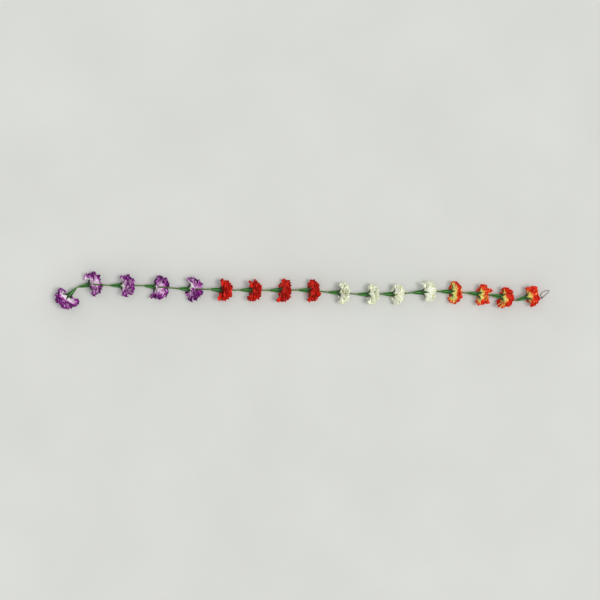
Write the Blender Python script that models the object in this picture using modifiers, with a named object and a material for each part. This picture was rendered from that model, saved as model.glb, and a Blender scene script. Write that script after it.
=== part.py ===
"""Flower door hanging: seventeen fabric carnations strung in a row on one thread, lying along
a surface. Each flower is a bloom in a green calyx, and an olive tube spaces it from the next.

Lengths are in metres, +X runs along the string towards its hanging loop and +Z is up.
Run with: blender --background --python part.py
"""

import math
import random

import bmesh
import bpy
from mathutils import Matrix, Vector

MM = 0.001

# The string: the thread runs through every flower at one height over the surface
AXIS_HEIGHT = 27.5 * MM
THREAD_RADIUS = 0.7 * MM
BORE_RADIUS = 1.25 * MM
SEAT_GAP = 0.3 * MM

# Where each calyx's narrow end lies and which way its flower looks, by hand:
# colour, x and y in mm, heading in degrees, turn of the petals on the calyx, petal reach in mm,
# and how far forward the edges of the outer petals and of the inner ones stand, in mm
FLOWERS = (
    ("purple", -662.5, 8.0, 226, 4, 35.5, 0, 0),
    ("purple", -655.5, 11.0, 11, 7, 35.0, -2, -2),
    ("purple", -561.6, 15.0, 0, 2, 34.0, 1, 5),
    ("purple", -459.6, 14.4, -5, -7, 36.5, -3, 5),
    ("purple", -357.6, 6.0, -3, 4, 36.5, -3, 3),
    ("red", -261.6, 3.6, -4, -4, 33.0, -7, -2),
    ("red", -171.6, 1.2, 0, -7, 33.0, -7, -4),
    ("red", -84.6, 0.6, 0, -6, 36.0, -3, -1),
    ("red", 2.4, 1.5, -3, 0, 34.0, -4, -3),
    ("white", 92.4, -5.1, -2, -1, 32.5, -1, -3),
    ("white", 179.4, -11.4, 0, -2, 31.0, -4, -4),
    ("white", 254.4, -10.5, -1, -3, 30.0, -2, -1),
    ("white", 344.4, -6.9, 3, 4, 31.5, 6, 2),
    ("orange", 428.4, -3.0, -2, -1, 35.5, -3, -4),
    ("orange", 510.9, -7.5, -6, -3, 32.0, -3, -4),
    ("orange", 579.9, -13.5, -9, -8, 32.5, -4, 2),
    ("orange", 656.4, -30.0, 17, -4, 32.0, 6, 1),
)

# The calyx: a moulded cup from its narrow end to its rim, with five pointed sepals
CALYX_LENGTH = 30 * MM
CALYX_SIDES = 10
CALYX_WALL = 0.95 * MM
CALYX_NARROW = 2.6 * MM
CALYX_WAIST = (12 * MM, 4.8 * MM)
CALYX_RIM = 7.4 * MM
SEPAL_TIP = (34.6 * MM, 12.2 * MM)
SEPAL_VALLEY = (30.7 * MM, 7.3 * MM)

# The core of a bloom: a plug in the cup that holds every petal's root
CORE_SIDES = 6
CORE_REAR = (12 * MM, 2.8 * MM)
CORE_RIM = (31.5 * MM, 6.0 * MM)
CORE_FRONT = (43 * MM, 3.2 * MM)

# The petals, in layers from the back to the heart. Paths are (reach, forward) in mm for a
# bloom of PATH_REACH, from the root over a guide point to the edge. "inner" says how far a
# layer goes by a flower's inner petals, and not by its outer ones.
PATH_REACH = 35.0
PETAL_THICKNESS = 0.9 * MM
ROOT_HALF_WIDTH = 1.5 * MM
LAYERS = (
    {"petals": 5, "edge_points": 6, "inner": 0.0,
     "path": ((3.4, 33.5), (16, 49), (35, 38)), "bend": -1.0},
    {"petals": 4, "edge_points": 6, "inner": 0.5,
     "path": ((3.2, 37.0), (12, 57), (33, 54)), "bend": 1.2},
    {"petals": 3, "edge_points": 5, "inner": 1.0,
     "path": ((3.0, 40.5), (6, 62), (21, 67)), "bend": 0.0},
)
SIDE_STATION = 0.55
BELLY_STATION = 0.5
PINK_DEPTH = 1.4 * MM
WAVE_HEIGHT = 2.8 * MM
WAVE_FADE = 12 * MM
LEAN_PIVOT = Vector((34 * MM, 0, 0))
PRESSED_FLAT = 0.25 * MM

# The tubes that space the flowers
SLEEVE_RADIUS = 1.9 * MM
SLEEVE_SIDES = 8

# The ends of the thread: a stop knot in the first bloom, and a loop to hang it by
STOP_KNOT_RADIUS = 2.2 * MM
LOOP_KNOT_RADIUS = 2.4 * MM
LOOP_KNOT_HALF = 2.0 * MM
LOOP_THREAD_RADIUS = 0.75 * MM
KNOT_PLACE = Vector((0.7385, -0.0218, LOOP_KNOT_RADIUS))
KNOT_HEADING = math.radians(35)
LOOP_ON_SURFACE = (
    (746.5, -15.6), (752.3, -9.8), (758.0, -4.6), (759.8, -1.0), (756.3, 0.4), (748.5, -0.8),
    (740.5, -4.8), (734.8, -10.5), (733.9, -14.8),
)

COLOURS = {
    "purple": (0.22, 0.012, 0.24),
    "red": (0.60, 0.018, 0.010),
    "white": (0.78, 0.80, 0.62),
    "orange": (0.76, 0.10, 0.025),
    "calyx": (0.028, 0.13, 0.030),
    "sleeve": (0.20, 0.26, 0.055),
    "thread": (0.14, 0.075, 0.070),
}


def clear_scene():
    for thing in list(bpy.data.objects):
        bpy.data.objects.remove(thing, do_unlink=True)


def new_collection(name):
    collection = bpy.data.collections.new(name)
    bpy.context.scene.collection.children.link(collection)
    return collection


def new_material(name, colour, roughness):
    material = bpy.data.materials.new(name)
    material.use_nodes = True
    shader = material.node_tree.nodes["Principled BSDF"]
    shader.inputs["Base Color"].default_value = (*colour, 1)
    shader.inputs["Roughness"].default_value = roughness
    shader.inputs["Metallic"].default_value = 0
    material.diffuse_color = (*colour, 1)
    return material


def add_object(name, data, collection, material=None):
    thing = bpy.data.objects.new(name, data)
    collection.objects.link(thing)
    if material:
        data.materials.append(material)
    return thing


def apply_modifiers(thing):
    bpy.context.view_layer.objects.active = thing
    for modifier in list(thing.modifiers):
        bpy.ops.object.modifier_apply(modifier=modifier.name)


def turned(name, profile, sides, collection, material=None):
    """A closed (forward, radius) profile turned about X, as a mesh"""
    bm = bmesh.new()
    points = [bm.verts.new((forward, 0, radius)) for forward, radius in profile]
    for start, end in zip(points, points[1:] + points[:1]):
        bm.edges.new((start, end))
    mesh = bpy.data.meshes.new(name)
    bm.to_mesh(mesh)
    bm.free()
    thing = add_object(name, mesh, collection, material)
    screw = thing.modifiers.new("turn", "SCREW")
    screw.axis = "X"
    screw.angle = math.tau
    screw.steps = sides
    screw.render_steps = sides
    screw.use_merge_vertices = True
    screw.merge_threshold = 0.00001
    apply_modifiers(thing)
    bm = bmesh.new()
    bm.from_mesh(mesh)
    if bm.calc_volume(signed=True) < 0:
        bmesh.ops.reverse_faces(bm, faces=bm.faces)
    bm.to_mesh(mesh)
    bm.free()
    return thing


def heading_vector(degrees):
    angle = math.radians(degrees)
    return Vector((math.cos(angle), math.sin(angle), 0))


def narrow_end(flower):
    return Vector((flower[1] * MM, flower[2] * MM, AXIS_HEIGHT))


def core_front(flower):
    return narrow_end(flower) + heading_vector(flower[3]) * CORE_FRONT[0]


def place_flower_piece(thing, flower):
    thing.location = narrow_end(flower)
    thing.rotation_euler = (0, 0, math.radians(flower[3]))


def calyx_roll(number):
    """How far a calyx, and the core in it, is turned about the string"""
    return math.radians(11 * number)


def make_calyx(number, flower, collection, material):
    rim_in = CALYX_RIM - CALYX_WALL
    profile = (
        (0, BORE_RADIUS),
        (0, CALYX_NARROW),
        CALYX_WAIST,
        (CALYX_LENGTH, CALYX_RIM),
        SEPAL_TIP,
        (CALYX_LENGTH, rim_in),
    )
    calyx = turned(f"calyx_{number:02d}", profile, CALYX_SIDES, collection, material)
    shape_sepals(calyx.data)
    calyx.data.transform(Matrix.Rotation(calyx_roll(number), 4, "X"))
    place_flower_piece(calyx, flower)


def shape_sepals(mesh):
    """Every second point of the rim's ring of tips drops back to the valley between sepals"""
    step = math.tau / CALYX_SIDES
    for vertex in mesh.vertices:
        if abs(vertex.co.x - SEPAL_TIP[0]) > 0.1 * MM:
            continue
        angle = math.atan2(vertex.co.y, vertex.co.z)
        if round(angle / step) % 2:
            forward, radius = SEPAL_VALLEY
            vertex.co = (forward, radius * math.sin(angle), radius * math.cos(angle))


def path_point(path, station):
    """(reach, forward) along a petal, on the curve of its root, guide and edge points"""
    root, guide, edge = path
    a, b, c = (1 - station) ** 2, 2 * station * (1 - station), station ** 2
    return tuple(a * r + b * g + c * e for r, g, e in zip(root, guide, edge))


def petal_point(across, station, layer, turn, flower, pink=0.0, wave=0.0):
    """A point of a petal: across it from -1 to 1, and from its root at 0 to its edge at 1"""
    reach, forward = path_point(layer["path"], station)
    growth = 1 + (flower[5] / PATH_REACH - 1) * station
    reach = reach * MM * growth + pink
    outer, inner = flower[6:8]
    forward += (outer + (inner - outer) * layer["inner"]) * station ** 2
    forward = forward * MM
    half_turn = math.pi / layer["petals"] * 0.94
    if station:
        angle = turn + across * half_turn
        sideways = 0
    else:
        angle = turn
        sideways = across * ROOT_HALF_WIDTH
    point = Vector((
        forward,
        reach * math.sin(angle) + sideways * math.cos(angle),
        reach * math.cos(angle) - sideways * math.sin(angle),
    ))
    lean = Matrix.Rotation(math.radians(flower[4]) * station, 3, "Z")
    point = LEAN_PIVOT + lean @ (point - LEAN_PIVOT)
    return press_on_surface(point, layer["bend"], wave)


def press_on_surface(point, bend, wave):
    """A petal that would pass the surface lies along it instead, bent back or forward, and its
    wave fades out above there"""
    lowest = PETAL_THICKNESS / 2 - AXIS_HEIGHT
    above = point.z - lowest
    if above < 0:
        point.z = lowest
        point.x -= bend * above
    else:
        point.x += wave * min(1, above / WAVE_FADE)
    return point


def belly_station(layer, turn, flower):
    """Half way along a petal, or where its middle first touches the surface"""
    station = BELLY_STATION
    lowest = PETAL_THICKNESS / 2 - AXIS_HEIGHT
    for step in range(7):
        trial = BELLY_STATION + 0.05 * step
        if petal_point(0, trial, layer, turn, flower).z <= lowest + 0.01 * MM:
            station = trial
            break
    return station


def petal_outline(layer, draw):
    """(across, station, pink, wave) of each outline point, once round from the root"""
    count = layer["edge_points"]
    outline = [(-1, 0, 0, 0), (-0.97, SIDE_STATION, 0, 0)]
    for index in range(count):
        across = -1 + 2 * index / (count - 1)
        pink = PINK_DEPTH * (1 if index % 2 else -1) + draw.uniform(-0.5, 0.5) * MM
        inner = 1 - abs(across) * 0.7
        wave = WAVE_HEIGHT * (1 if index % 2 else -1) * inner * draw.uniform(0.4, 1)
        outline.append((across, 1, pink, wave))
    outline.append((0.97, SIDE_STATION, 0, 0))
    outline.append((1, 0, 0, 0))
    return outline


def make_petal(name, layer, turn, flower, draw, collection):
    """A thin waved blade: a filled round of points spread from its belly to the outline"""
    outline = petal_outline(layer, draw)
    bm = bmesh.new()
    bmesh.ops.create_circle(bm, cap_ends=True, cap_tris=True, segments=len(outline), radius=1)
    bm.verts.ensure_lookup_table()
    middle = min(bm.verts, key=lambda vertex: vertex.co.length)
    rim = [vertex for vertex in bm.verts if vertex is not middle]
    rim.sort(key=lambda vertex: math.atan2(vertex.co.y, vertex.co.x))
    for vertex, (across, station, pink, wave) in zip(rim, outline):
        vertex.co = petal_point(across, station, layer, turn, flower, pink, wave)
    station = belly_station(layer, turn, flower)
    middle.co = petal_point(0, station, layer, turn, flower)
    mesh = bpy.data.meshes.new(name)
    bm.to_mesh(mesh)
    bm.free()
    petal = add_object(name, mesh, collection)
    shell = petal.modifiers.new("thickness", "SOLIDIFY")
    shell.thickness = PETAL_THICKNESS
    shell.offset = 0
    return petal


def make_bloom(number, flower, collection, petals, material):
    draw = random.Random(40 + number)
    profile = (
        (CORE_REAR[0], BORE_RADIUS),
        CORE_REAR,
        CORE_RIM,
        CORE_FRONT,
        (CORE_FRONT[0], BORE_RADIUS),
    )
    bloom = turned(f"bloom_{number:02d}", profile, CORE_SIDES, collection, material)
    bloom.data.transform(Matrix.Rotation(calyx_roll(number), 4, "X"))
    start = draw.uniform(0, math.tau)
    for level, layer in enumerate(LAYERS):
        step = math.tau / layer["petals"]
        for index in range(layer["petals"]):
            turn = start + (index + 0.5 * level) * step + draw.uniform(-0.03, 0.03)
            make_petal(f"petal_{level}_{index}", layer, turn, flower, draw, petals)
    union = bloom.modifiers.new("petals", "BOOLEAN")
    union.operation = "UNION"
    union.operand_type = "COLLECTION"
    union.collection = petals
    union.solver = "EXACT"
    apply_modifiers(bloom)
    for petal in list(petals.objects):
        bpy.data.objects.remove(petal, do_unlink=True)
    for vertex in bloom.data.vertices:
        if vertex.co.z < PRESSED_FLAT - AXIS_HEIGHT:
            vertex.co.z = -AXIS_HEIGHT
    place_flower_piece(bloom, flower)


def sleeve_ends(before, after):
    """The two ends of the tube between a flower's front and the next one's narrow end. The
    first two flowers look away from each other, and their narrow ends meet."""
    if before is FLOWERS[0]:
        start, way_out = narrow_end(before), -heading_vector(before[3])
    else:
        start, way_out = core_front(before), heading_vector(before[3])
    end, way_in = narrow_end(after), heading_vector(after[3])
    along = (end - start).normalized()
    clear = []
    for way in (way_out, way_in):
        bend = along.angle(way)
        clear.append((SEAT_GAP + SLEEVE_RADIUS * math.sin(bend)) / math.cos(bend))
    return start + along * clear[0], end - along * clear[1]


def make_sleeve(number, before, after, collection, material):
    start, end = sleeve_ends(before, after)
    length = (end - start).length
    profile = (
        (0, BORE_RADIUS),
        (0, SLEEVE_RADIUS),
        (length, SLEEVE_RADIUS),
        (length, BORE_RADIUS),
    )
    sleeve = turned(f"sleeve_{number:02d}", profile, SLEEVE_SIDES, collection, material)
    along = end - start
    sleeve.location = start
    sleeve.rotation_euler = (0, 0, math.atan2(along.y, along.x))


def thread_route():
    """The thread's corners, from the stop knot in the first bloom to the last bloom's front"""
    first = FLOWERS[0]
    route = [core_front(first) + heading_vector(first[3]) * STOP_KNOT_RADIUS]
    route.append(narrow_end(first))
    for flower in FLOWERS[1:]:
        route.append(narrow_end(flower))
        route.append(core_front(flower))
    return route


def tube(name, points, radius, resolution, collection, closed_ends=True):
    curve = bpy.data.curves.new(name, "CURVE")
    curve.dimensions = "3D"
    curve.bevel_depth = radius
    curve.bevel_resolution = resolution
    curve.use_fill_caps = closed_ends
    spline = curve.splines.new("POLY")
    spline.points.add(len(points) - 1)
    for place, point in zip(spline.points, points):
        place.co = (*point, 1)
    return add_object(name, curve, collection)


def curve_to_mesh(thing, collection, material=None):
    """The curve's tube as a closed mesh under the same name"""
    name = thing.name
    depsgraph = bpy.context.evaluated_depsgraph_get()
    mesh = bpy.data.meshes.new_from_object(thing.evaluated_get(depsgraph))
    bm = bmesh.new()
    bm.from_mesh(mesh)
    bmesh.ops.remove_doubles(bm, verts=bm.verts, dist=0.00001)
    bm.to_mesh(mesh)
    bm.free()
    place = thing.matrix_world.copy()
    bpy.data.objects.remove(thing, do_unlink=True)
    solid = add_object(name, mesh, collection, material)
    solid.matrix_world = place
    return solid


def make_thread(collection, guides, material):
    """The thread with its stop knot, which is tied in it and so is one body with it"""
    route = thread_route()
    thread = tube("thread", route, THREAD_RADIUS, 1, collection)
    thread = curve_to_mesh(thread, collection, material)
    first = FLOWERS[0]
    forward = heading_vector(first[3])
    seat = core_front(first) + forward * SEAT_GAP
    half = STOP_KNOT_RADIUS * 0.5
    bm = bmesh.new()
    bmesh.ops.create_uvsphere(bm, u_segments=8, v_segments=5, radius=STOP_KNOT_RADIUS)
    for vertex in bm.verts:
        vertex.co.x = max(-half, min(half, vertex.co.x))
    mesh = bpy.data.meshes.new("stop_knot")
    bm.to_mesh(mesh)
    bm.free()
    knot = add_object("stop_knot", mesh, guides)
    knot.location = seat + forward * half
    knot.rotation_euler = (0, 0, math.radians(first[3]))
    union = thread.modifiers.new("stop knot", "BOOLEAN")
    union.operation = "UNION"
    union.object = knot
    union.solver = "EXACT"
    apply_modifiers(thread)
    bpy.data.objects.remove(knot, do_unlink=True)


def smooth_route(corners, pieces):
    """Points of a smooth curve through the corners"""
    points = []
    padded = [corners[0] * 2 - corners[1], *corners, corners[-1] * 2 - corners[-2]]
    for before, start, end, after in zip(padded, padded[1:], padded[2:], padded[3:]):
        for step in range(pieces):
            t = step / pieces
            points.append(0.5 * (
                start * 2
                + (end - before) * t
                + (before * 2 - start * 5 + end * 4 - after) * t ** 2
                + (start * 3 - before - end * 3 + after) * t ** 3
            ))
    points.append(corners[-1])
    return points


def loop_corners():
    """The loop's route by hand: out of the last bloom, down on the surface, through the knot,
    once round and back to the knot's side"""
    last = FLOWERS[-1]
    front = core_front(last)
    forward = heading_vector(last[3])
    low = LOOP_THREAD_RADIUS + 0.1 * MM
    knot_way = Vector((math.cos(KNOT_HEADING), math.sin(KNOT_HEADING), 0))
    side = Vector((-knot_way.y, knot_way.x, 0))
    back = KNOT_PLACE + side * (LOOP_KNOT_RADIUS + SEAT_GAP)
    corners = [
        front + forward * SEAT_GAP,
        front + forward * 8 * MM,
        front + forward * 17 * MM + Vector((0, -0.001, -0.0025)),
        front + forward * 27 * MM + Vector((0.002, -0.005, -0.009)),
        Vector((0.7300, -0.0205, 0.0090)),
        KNOT_PLACE - knot_way * 4 * MM + Vector((0, 0, 0.0008)),
        KNOT_PLACE - knot_way * 2 * MM,
        KNOT_PLACE + knot_way * 2 * MM,
        KNOT_PLACE + knot_way * 4 * MM,
    ]
    for x, y in LOOP_ON_SURFACE:
        corners.append(Vector((x * MM, y * MM, low)))
    corners.append(back + side * 2.5 * MM)
    corners.append(back)
    return corners


def make_loop(collection, thread_material):
    points = smooth_route(loop_corners(), 2)
    loop = tube("hanging_loop", points, LOOP_THREAD_RADIUS, 2, collection)
    curve_to_mesh(loop, collection, thread_material)
    bore = LOOP_THREAD_RADIUS + 0.4 * MM
    half = LOOP_KNOT_HALF
    profile = (
        (-half, bore),
        (-half, LOOP_KNOT_RADIUS * 0.72),
        (-half * 0.4, LOOP_KNOT_RADIUS),
        (half * 0.4, LOOP_KNOT_RADIUS),
        (half, LOOP_KNOT_RADIUS * 0.9),
        (half, bore),
    )
    knot = turned("loop_knot", profile, 8, collection, thread_material)
    knot.location = KNOT_PLACE
    knot.rotation_euler = (0, 0, KNOT_HEADING)


def main():
    clear_scene()
    hanging = new_collection("flower_door_hanging")
    guides = new_collection("guides")
    petals = new_collection("petals")
    materials = {}
    for name, colour in COLOURS.items():
        materials[name] = new_material(name, colour, 0.5 if name == "calyx" else 0.8)
    for number, flower in enumerate(FLOWERS, 1):
        make_bloom(number, flower, hanging, petals, materials[flower[0]])
        make_calyx(number, flower, hanging, materials["calyx"])
    for number, (before, after) in enumerate(zip(FLOWERS, FLOWERS[1:]), 1):
        make_sleeve(number, before, after, hanging, materials["sleeve"])
    make_thread(hanging, guides, materials["thread"])
    make_loop(hanging, materials["thread"])


main()
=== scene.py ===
"""Finishes the flower door hanging: ruffled fabric carnations, moulded calyces, spacer tubes, the
thread with its hanging loop, and a pale studio floor seen from straight above."""

import math
import random
from collections import namedtuple

import bpy
import numpy as np
from bpy.props import FloatProperty, FloatVectorProperty, IntProperty, PointerProperty
from mathutils import Matrix, Vector


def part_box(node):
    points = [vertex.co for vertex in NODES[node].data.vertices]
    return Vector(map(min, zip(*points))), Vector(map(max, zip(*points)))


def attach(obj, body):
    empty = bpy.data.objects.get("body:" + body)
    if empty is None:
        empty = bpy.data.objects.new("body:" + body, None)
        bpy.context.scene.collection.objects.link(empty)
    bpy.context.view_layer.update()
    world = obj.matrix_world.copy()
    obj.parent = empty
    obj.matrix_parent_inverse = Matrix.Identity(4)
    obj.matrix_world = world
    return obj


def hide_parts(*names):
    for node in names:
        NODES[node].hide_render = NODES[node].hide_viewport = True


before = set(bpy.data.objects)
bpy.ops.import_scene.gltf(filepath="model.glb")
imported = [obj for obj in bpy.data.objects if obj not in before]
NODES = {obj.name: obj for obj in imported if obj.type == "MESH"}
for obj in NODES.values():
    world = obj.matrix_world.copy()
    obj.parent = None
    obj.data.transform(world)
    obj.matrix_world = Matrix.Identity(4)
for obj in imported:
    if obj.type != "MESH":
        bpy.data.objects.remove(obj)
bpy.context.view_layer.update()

bl_info = {
    "name": "Flower door hanging",
    "version": (1, 0),
    "blender": (4, 5, 0),
    "location": "View3D > Sidebar > Flowers",
    "description": "Finishes a door hanging of fabric carnations on one thread",
    "category": "Object",
}

MM = 0.001

# How each flower was bent when it was laid down, from the first to the last: its fabric, how far
# it leans over on its calyx in degrees, the reach of its petals in mm, how far forward the edges
# of its outer and of its inner petals stand in mm, how wide its petals part on top in radians, how
# far its top petals fold forward in mm, how far its dye has run towards the root, how strong its
# ruffles are, and how far the petals at its sides are squashed over, so that their backs turn up
Flower = namedtuple("Flower", "fabric lean reach outer inner gap fold dye ruffle squash")
FLOWERS = [Flower(*row) for row in (
    ("purple", 4, 36.5, 0, 1, 0.10, 17, 0.09, 0.50, 0.45),
    ("purple", 7, 35.5, -3, -1, 0.25, 5, 0.10, 0.75, 0.50),
    ("purple", 2, 34.5, 1, 4, 0.10, 10, -0.17, 0.90, 0.50),
    ("purple", -7, 36.5, -3, 5, 0.30, 3, 0.15, 0.85, 0.50),
    ("purple", 4, 36.5, -3, 2, 0.45, 12, 0.35, 0.75, 0.50),
    ("red", -4, 33.0, -7, -2, 0.60, 10, 0.10, 1.0, 0.15),
    ("red", -7, 33.0, -7, -5, 0.20, 16, 0.10, 0.90, 0.35),
    ("red", -6, 35.5, -4, -3, 0.10, 18, 0.10, 0.90, 0.30),
    ("red", 0, 33.5, -4, -4, 0.15, 14, 0.10, 1.0, 0.25),
    ("white", -1, 32.0, -2, -4, 0.05, 8, 0.0, 1.1, 0.20),
    ("white", -2, 31.0, -4, -5, 0.20, 20, 0.0, 1.0, 0.25),
    ("white", -3, 30.0, -2, -2, 0.75, 12, 0.0, 1.0, 0.30),
    ("white", 4, 31.5, 6, 1, 0.30, 20, 0.0, 1.1, 0.25),
    ("orange", -1, 35.0, -2, -8, 0.05, 20, -0.11, 0.40, 0.45),
    ("orange", -3, 32.0, -3, -5, 0.45, 18, -0.10, 0.90, 0.35),
    ("orange", -8, 32.0, -5, 0, 0.35, 18, 0.38, 0.85, 0.35),
    ("orange", -4, 31.5, 6, 0, 0.10, 14, 0.32, 0.85, 0.40),
)]
FLOWER_COUNT = len(FLOWERS)

# Flowers whose petals part so far on top that the next tube shows between them, and the first
# layer that does. They part by this angle, and leave this room on each side of the tube's axis.
OPENED = {2: 1, 4: 1, 5: 2}
OPEN_GAP = 0.95
TUBE_ROOM = 2.8 * MM

# The fold of the top petals falls off to the sides by a power, and draws a petal's edge in by a
# share of the way that it goes forward
FOLD_POWER = 1.5
FOLD_DRAW = 0.20

# Petals that were bent away from their layer: flower, layer, turn in radians, how much further
# they reach and stand forward in mm (the middle of the petal follows by a share), their width
# against the layer's, and how much further their dye has run
STRAY_FOLLOW = 0.5
STRAYS = (
    (1, 0, 1.35, 6, -7, 1.45, -0.10),
    (1, 1, 1.20, 4, -3, 1.35, -0.10),
    (1, 0, -1.35, 0, -1, 1.30, -0.10),
    (2, 0, 1.10, 1, 2, 1.35, -0.30),
    (2, 0, -1.25, 4, 5, 1.35, -0.25),
    (2, 1, -1.00, 2, 2, 1.20, -0.10),
    (3, 0, 1.15, 0, 0, 1.05, -0.35),
    (4, 0, -1.55, 1, -7, 0.60, 0.0),
    (5, 0, 1.00, 2, 2, 1.20, -0.75),
    (5, 1, 1.15, 3, -2, 1.20, -0.75),
    (5, 2, 1.25, 4, -6, 1.15, -0.70),
    (6, 0, 1.15, 4, -7, 0.90, 0.0),
    (6, 0, -1.30, 1, -1, 1.05, 0.0),
    (7, 0, 1.00, -3, -6, 0.80, 0.0),
    (7, 0, -1.30, 2, -5, 1.10, 0.0),
    (8, 0, 1.25, 1, 9, 1.00, 0.0),
    (8, 1, 1.40, 0, 6, 1.00, 0.0),
    (8, 0, -1.35, 0, -4, 1.15, 0.0),
    (9, 0, 1.10, 3, 1, 0.75, 0.0),
    (11, 0, 1.20, -1, 6, 0.95, 0.0),
    (12, 0, -1.30, 2, 8, 1.00, 0.0),
    (12, 1, -1.40, 2, 5, 1.00, 0.0),
    (13, 0, 1.20, 1, -8, 0.90, 0.0),
    (14, 0, 1.00, 0, 5, 1.15, -0.30),
    (14, 1, 1.20, 0, 6, 1.10, -0.10),
    (14, 0, -1.30, 2, 4, 1.30, -0.30),
    (15, 4, 0.90, 7, 6, 0.50, 0.0),
    (15, 4, -1.30, 6, 5, 0.50, 0.0),
    (15, 0, -1.15, 2, -2, 1.10, -0.35),
    (16, 0, -1.10, 3, -3, 1.20, -1.05),
    (16, 1, -0.90, 2, -1, 1.15, -1.05),
    (16, 2, -1.10, 1, 0, 1.00, -0.80),
)

# Petal layers from the back to the heart: how many petals, their path, half their width in mm,
# how far they slide forward as the surface presses them, and how far they go by the flower's
# inner petals rather than its outer ones. Each path is (reach, forward) in mm from the calyx's
# narrow end, from root over guide to edge, for a flower that reaches PATH_REACH.
PATH_REACH = 35.0
Layer = namedtuple("Layer", "petals path half_width slide inner")
LAYERS = [Layer(*row) for row in (
    (5, ((3.4, 33.0), (16, 45), (35, 37)), 22.5, -0.8, 0.0),
    (5, ((3.4, 34.5), (14, 50), (35, 45)), 22.0, -0.3, 0.25),
    (5, ((3.2, 36.5), (12, 56), (33, 53)), 21.0, 0.8, 0.5),
    (4, ((3.2, 38.5), (9, 59), (28, 60)), 20.0, 0.8, 0.75),
    (4, ((3.1, 40.0), (6, 60), (21, 66)), 16.0, 0.5, 1.0),
    (3, ((3.3, 41.0), (4.5, 57), (12, 67)), 11.0, 0.2, 1.0),
)]
PETAL_COUNT = sum(layer.petals for layer in LAYERS)

# The grid that a petal is made from, the thread's height over the surface, and the length of a
# calyx without its sepals
COLUMNS = 32
ROWS = 10
AXIS_HEIGHT = 27.5 * MM
CALYX_LENGTH = 30 * MM

# A petal's form: its width at the root and how far its corners are rounded, against its full
# width; its fine folds and the sideways sway of its deep ones, against their height; how much
# flatter the folds are at its sides; and the room that keeps its root from wrapping round
ROOT_WIDTH = 0.09
CORNER_ROUND = 0.11
FINE_FOLDS = 0.13
FOLD_SWAY = 0.25
SIDE_FLATNESS = 0.45
ROOT_ROOM = 1.5 * MM

# Where a flower leans over from, how far petals on the surface stay clear of it, and the depth
# over which they are pressed flat
LEAN_FROM = CALYX_LENGTH + 4 * MM
FLOOR_CLEARANCE = 0.05 * MM
PRESS_DEPTH = 8 * MM

# Fabric colours from a petal's root to its edge, each at its station along the petal. None is
# where the dye is at its full strength, in the colour that the settings give.
FABRICS = {
    "purple": ((0.0, "#C2CF96"), (0.12, "#FBF7EC"), (0.52, "#FAE8F8"), (0.69, "#E2A9DE"),
               (0.80, "#B245AE"), (0.885, None), (0.975, "#4C0450")),
    "red": ((0.0, "#6E0803"), (0.30, "#AC1004"), (0.62, None), (0.86, "#E8260D"),
            (0.985, "#980B05")),
    # The white fabric's darker grey-green edge is painted shade, standing for the shadow lines
    # between its ruffles
    "white": ((0.0, "#B9C78C"), (0.20, "#EAEECC"), (0.55, None), (0.86, "#FCFDEE"),
              (0.985, "#DADFB9")),
    "orange": ((0.0, "#C6D060"), (0.08, "#FAF898"), (0.50, "#FBF27A"), (0.64, "#FBB45A"),
               (0.75, "#F8682C"), (0.87, None), (0.985, "#CC160A")),
}
STREAKS = {"purple": 1.4, "red": 0.9, "white": 0.6, "orange": 1.2}

# How far apart the flowers lie in the fabric's pattern, how far a petal's dye has to stay back
# for its edge to be left bare, and the station whose colour the plug has
PATTERN_STEP = 40
BARE_FROM = -0.45
ROOT_STATION = 0.02

# The loop's route and knot as the solid model has them, the place of a bloom's front from the
# calyx's narrow end, the gap between seated pieces, and the steps between corners of the route
LOOP_THREAD_RADIUS = 0.75 * MM
LOOP_ON_SURFACE = (
    (746.5, -15.6), (752.3, -9.8), (758.0, -4.6), (759.8, -1.0), (756.3, 0.4), (748.5, -0.8),
    (740.5, -4.8), (734.8, -10.5), (733.9, -14.8),
)
KNOT_PLACE = Vector((0.7385, -0.0218, 0.0024))
KNOT_HEADING = math.radians(35)
KNOT_RADIUS = 2.4 * MM
CORE_FRONT = 43 * MM
SEAT_GAP = 0.3 * MM
ROUTE_PIECES = 6

# The loop's two plies, and the strand of the knot with the size of its turns
PLY_RADIUS = 0.50 * MM
PLY_OFFSET = 0.33 * MM
STRAND_RADIUS = 0.72 * MM
KNOT_ACROSS = 0.60 * MM
KNOT_DEPTH = 0.95 * MM
KNOT_POINTS = 48

# The view: straight down, from far enough for the heads at both ends to look alike
CAMERA_FOOT = (0.0084, -0.0285)
CAMERA_RISE = 5.0
FRAME_WIDTH = 1.8
SENSOR_WIDTH = 36

# The floor's size in metres, where the key light comes from, how wide and warm it is, and the
# tint of the even light
FLOOR_SIZE = 12
KEY_LIGHT_FROM = Vector((0.42, -0.06, 1.0))
KEY_LIGHT_WIDTH = math.radians(20)
KEY_LIGHT_TINT = (1.0, 0.985, 0.96)
SKY_TINT = (0.97, 0.985, 1.0, 1)


def linear(hex_colour):
    """An sRGB hex colour as linear RGBA"""
    parts = [int(hex_colour[start:start + 2], 16) / 255 for start in (1, 3, 5)]
    straight = [p / 12.92 if p <= 0.04045 else ((p + 0.055) / 1.055) ** 2.4 for p in parts]
    return (*straight, 1)


def activate(*things):
    """Selects these objects only, with the first one active"""
    bpy.ops.object.select_all(action="DESELECT")
    for thing in things:
        thing.select_set(True)
    bpy.context.view_layer.objects.active = things[0]


def apply_modifiers(thing):
    activate(thing)
    for modifier in list(thing.modifiers):
        bpy.ops.object.modifier_apply(modifier=modifier.name)


def thicken(thing, thickness, offset=-1):
    """Gives a surface its thickness, inwards unless the offset says otherwise"""
    shell = thing.modifiers.new("wall", "SOLIDIFY")
    shell.thickness = thickness
    shell.offset = offset
    apply_modifiers(thing)


def own_copy(thing):
    """A copy of an object with a mesh of its own"""
    made = thing.copy()
    made.data = thing.data.copy()
    bpy.context.collection.objects.link(made)
    return made


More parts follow.
